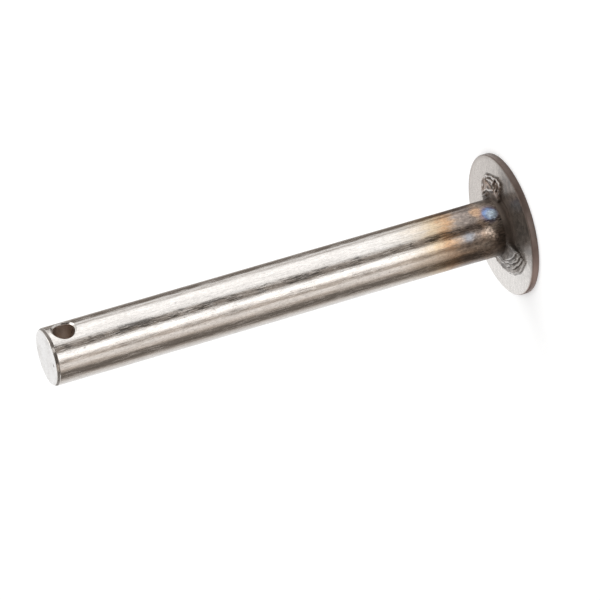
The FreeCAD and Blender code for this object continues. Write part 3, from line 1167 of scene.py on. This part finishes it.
wider = bead.band(bead.toward(35), 0.0, 5.0, 0.0, -0.4)
collar_radius = bead.plus(bead.plus(radius, bead.sway(patchy, 0.45)), wider)
collar = bead.band(collar_radius, 6.8, 7.7, 1.0, 0.0)
collar = bead.times(collar, bead.band(bead.toward(-145), 2.0, 6.0, 1.0, 0.6))
lit = bead.times(bead.band(bead.toward(-14), 4.6, 6.2), bead.band(above_face, 0.4, 1.5))
rusty = bead.band(bead.noise(1.8, 4.0), 0.5, 0.7, 0.0, 0.35)
collar_colour = bead.mix(rusty, bead.mix(lit, *COLLAR_COLOURS), RUST_COLOUR)
colour = bead.mix(collar, colour, collar_colour)

near_bar = bead.band(radius, 7.2, 8.6, 0.34, 0.0)
rougher = bead.math("MAXIMUM", near_bar, bead.times(raised, 0.16))
normal = bead.bump(bead.times(grit, raised), 0.05, 1.0, normal)
bead.finish(colour, bead.plus(roughness, rougher), normal, weld)

# %% [markdown]
# The studio. The pin stands on a wide white floor with a white world round it.
# More lamps would turn the background white too, but they would bleach the metal.
# So the world and the floor look white only to the camera, to mirror rays and to
# rays through glass, the light on the pin stays plain, and so does its shadow.

# %% World and floor
WORLD_LIGHT = 0.85
FLOOR_REACH = 6000
FLOOR_COLOUR = (0.92, 0.92, 0.92)
FLOOR_GLOW = 0.2
WHITE = (1.0, 1.0, 1.0)


def is_seen(nodes):
    """1 for camera, mirror and glass rays, and 0 for the rays that light the pin."""
    path = nodes.add("LightPath", {}).outputs
    seen = nodes.math("MAXIMUM", path["Is Camera Ray"], path["Is Glossy Ray"])
    return nodes.math("MAXIMUM", seen, path["Is Transmission Ray"])


def flat_ring(name, inner, outer, height, columns):
    """A flat ring of the studio round the pin."""
    points, faces = [], []
    for i in range(columns):
        angle, j = 2 * math.pi * i / columns, (i + 1) % columns
        points += [polar_point(radius, angle, height) for radius in (inner, outer)]
        faces.append((2 * i, 2 * i + 1, 2 * j + 1, 2 * j))
    ring = place_object(name, new_mesh(name, points, faces))
    return ring


sky = Nodes(bpy.data.worlds.new("studio_world"))
strength = sky.band(is_seen(sky), 0.0, 1.0, WORLD_LIGHT, 1.0)
background = sky.add("Background", {"Color": WHITE, "Strength": strength})
sky.add("OutputWorld", {"Surface": background.outputs[0]})
bpy.context.scene.world = sky.owner

ground = Nodes(bpy.data.materials.new("floor_white"))
matt = ground.add("BsdfPrincipled", {
    "Base Color": FLOOR_COLOUR, "Roughness": 1.0, "Specular IOR Level": 0.0,
    "Emission Color": WHITE, "Emission Strength": ground.times(is_seen(ground), FLOOR_GLOW),
})
ground.add("OutputMaterial", {"Surface": matt.outputs[0]})
floor = flat_ring("floor", 0.01, FLOOR_REACH, -0.02, 128)
floor.data.materials.append(ground.owner)
print("floor reach, m", FLOOR_REACH * MM)

# %% [markdown]
# Cards. A round bar of polished steel is a mirror of its surroundings, and a
# photographer shapes it with white and black cards laid round it. Here one ring of
# card lies on the floor. It is white in some directions and dark in others, with
# soft changes between, and only mirror rays see it. Each direction of the card
# becomes one long band on the bar. Each pair below is a direction in degrees,
# counted from the side where the camera stands, and the tone of the card there.

# %% Tones of the floor card
CARD_TONES = (
    (-180, 1.05), (-168, 0.84), (-160, 0.55), (-152, 0.36), (-144, 0.22), (-126, 0.19), (-118.5, 0.26),
    (-114.5, 1.00), (-109, 1.29), (-105, 0.66), (-101, 0.68), (-96, 1.12), (-92, 1.42), (-88, 1.64),
    (-72, 1.64), (-64, 1.50), (-48, 1.42), (-40, 1.34), (-34, 0.84), (-27, 0.41), (-16, 0.31),
    (-8, 0.36), (-4, 0.66), (0, 1.40), (5, 1.95), (20, 1.72), (25, 1.25), (29, 0.70), (40, 0.60),
    (45, 0.94), (48, 1.16), (56, 1.00), (64, 0.80), (69, 0.53), (74, 0.36), (80, 0.20), (96, 0.175),
    (104, 0.195), (110, 0.30), (114, 0.46), (120, 0.70), (128, 0.92), (144, 1.00), (160, 1.02),
    (168, 1.08), (180, 1.05),
)
BRIGHTEST_TONE = 2.0
CAMERA_SIDE = -49.9
print("card tones", len(CARD_TONES))

# %% [markdown]
# The card's material turns the direction of a place into a share of the full
# circle, and a curve with straight runs turns that share into the tone. A real
# dark card reflects a warm brown and a white one a cool white, so the colour
# follows the tone, and on one side, toward the warm wall of the room, the card
# is warmer.

# %% Floor card
DARK_CARD = (1.13, 1.0, 0.90)
WHITE_CARD = (0.985, 1.0, 1.02)
WARM_DIRECTION = 46
WARM_REACH = 28
WARM_STRENGTH = 0.30


def card_tones_material():
    """Mirror rays see a tone that depends on the direction from the pin."""
    card = Nodes(bpy.data.materials.new("card_tones"))
    place = card.add("TexCoord", {}).outputs["Object"]
    turn = {"Vector": place, "Angle": math.radians(-CAMERA_SIDE)}
    turned = card.add("VectorRotate", turn, rotation_type="Z_AXIS").outputs["Vector"]
    across, along, _ = card.add("SeparateXYZ", {0: turned}).outputs
    share = card.slope(card.math("ARCTAN2", along, across), math.pi, -math.pi)
    curve = card.add("FloatCurve", {"Value": share})
    places = [((degrees + 180) / 360, tone / BRIGHTEST_TONE) for degrees, tone in CARD_TONES]
    points = curve.mapping.curves[0].points
    for x, y in places[1:-1]:
        points.new(x, y)
    for point, place in zip(points, places):
        point.location = place
        point.handle_type = "VECTOR"
    curve.mapping.update()
    tone = curve.outputs[0]
    warm = card.math("COMPARE", share, (WARM_DIRECTION + 180) / 360, WARM_REACH / 360)
    whiteness = card.plus(card.slope(tone, 0.10, 0.54), warm, -WARM_STRENGTH)
    paint = card.mix(whiteness, DARK_CARD, WHITE_CARD)
    glow = card.add("Emission", {"Color": paint, "Strength": card.times(tone, BRIGHTEST_TONE)})
    card.add("OutputMaterial", {"Surface": glow.outputs[0]})
    return card.owner


def only_in_mirrors(card):
    """Hides a card from everything but mirror rays."""
    for kind in ("camera", "diffuse", "transmission", "volume_scatter", "shadow"):
        setattr(card, "visible_" + kind, False)


cards = flat_ring("cards", 17.0, 2500, 0.05, 256)
cards.data.materials.append(card_tones_material())
only_in_mirrors(cards)
print("points of the floor card", len(cards.data.vertices))

# %% [markdown]
# Two more cards stand upright. The bevels, the round edges and the weld look up
# toward the camera's side, where a dark room darkens them, and the flat faces look
# the other way, where a white card brightens them.

# %% Upright cards
CARD_STEPS = 24


def upright_card(name, start, end, distance, low, high, tone, colour):
    """Part of a cylinder round the pin, from one direction to another, seen in mirrors."""
    points, faces = [], []
    for i in range(CARD_STEPS + 1):
        angle = math.radians(start + (end - start) * i / CARD_STEPS)
        points += [polar_point(distance, angle, height) for height in (low, high)]
    for i in range(CARD_STEPS):
        faces.append((2 * i, 2 * i + 2, 2 * i + 3, 2 * i + 1))
    paper = Nodes(bpy.data.materials.new(name))
    glow = paper.add("Emission", {"Color": colour, "Strength": tone})
    paper.add("OutputMaterial", {"Surface": glow.outputs[0]})
    card = place_object(name, new_mesh(name, points, faces))
    card.data.materials.append(paper.owner)
    only_in_mirrors(card)
    print(name, "faces", len(faces))


upright_card("dark_room", -135, 30, 1600, 120, 3200, 0.16, DARK_CARD)
upright_card("back_card", 85, 175, 1500, 40, 1300, 1.28, WHITE_CARD)

# %% [markdown]
# Lamps. One soft lamp hangs above the pin on the side that the photograph shows
# brightest, and a small one on the camera's side adds glints on the bevels; the
# two bright spots on the end bevel are painted glints.
# They are weak and white, so the pin's colours are seen as they are.

# %% Lamps
LAMP_DISTANCE = 1200


def soft_lamp(name, direction, elevation, size, power):
    """A square area lamp that looks at the pin's middle."""
    lamp = bpy.data.lights.new(name, "AREA")
    lamp.size = size * MM
    lamp.energy = power
    holder = place_object(name, lamp)
    lift = math.radians(elevation)
    away = Vector(polar_point(math.cos(lift), math.radians(direction), math.sin(lift)))
    holder.location = (Vector((0, 0, BAR_LENGTH / 2)) + away * LAMP_DISTANCE) * MM
    holder.rotation_mode = "QUATERNION"
    holder.rotation_quaternion = away.to_track_quat("Z", "Y")
    print(name, "at", [round(c, 2) for c in holder.location])


soft_lamp("key_lamp", 40, 55, 450, 2.6)
soft_lamp("glint_lamp", -26, 38, 220, 0.5)

# %% [markdown]
# The camera. A long lens from almost a metre away keeps the bar's sides nearly
# parallel, as in the photograph. The pin stands upright here and lies aslant
# in the photograph, so the camera is rolled about its own axis.

# %% Camera
CAMERA_PLACE = Vector((588.462, -702.981, 352.277)) * MM
CAMERA_AIM = Vector((-2.5705, -2.1679, 50.4350)) * MM
CAMERA_ROLL = math.radians(-106.3584)

lens = bpy.data.cameras.new("camera")
lens.lens = 270.0
lens.sensor_width = 36.0
lens.clip_start = 0.05
lens.clip_end = 50.0
camera = place_object("camera", lens)
camera.location = CAMERA_PLACE
camera.rotation_mode = "QUATERNION"
look = (CAMERA_AIM - CAMERA_PLACE).to_track_quat("-Z", "Y")
camera.rotation_quaternion = look @ Quaternion((0, 0, 1), CAMERA_ROLL)
bpy.context.scene.camera = camera
bpy.context.scene.view_settings.view_transform = "Standard"
bpy.context.view_layer.update()
print("camera right", [round(c, 5) for c in camera.matrix_world.col[0][:3]])
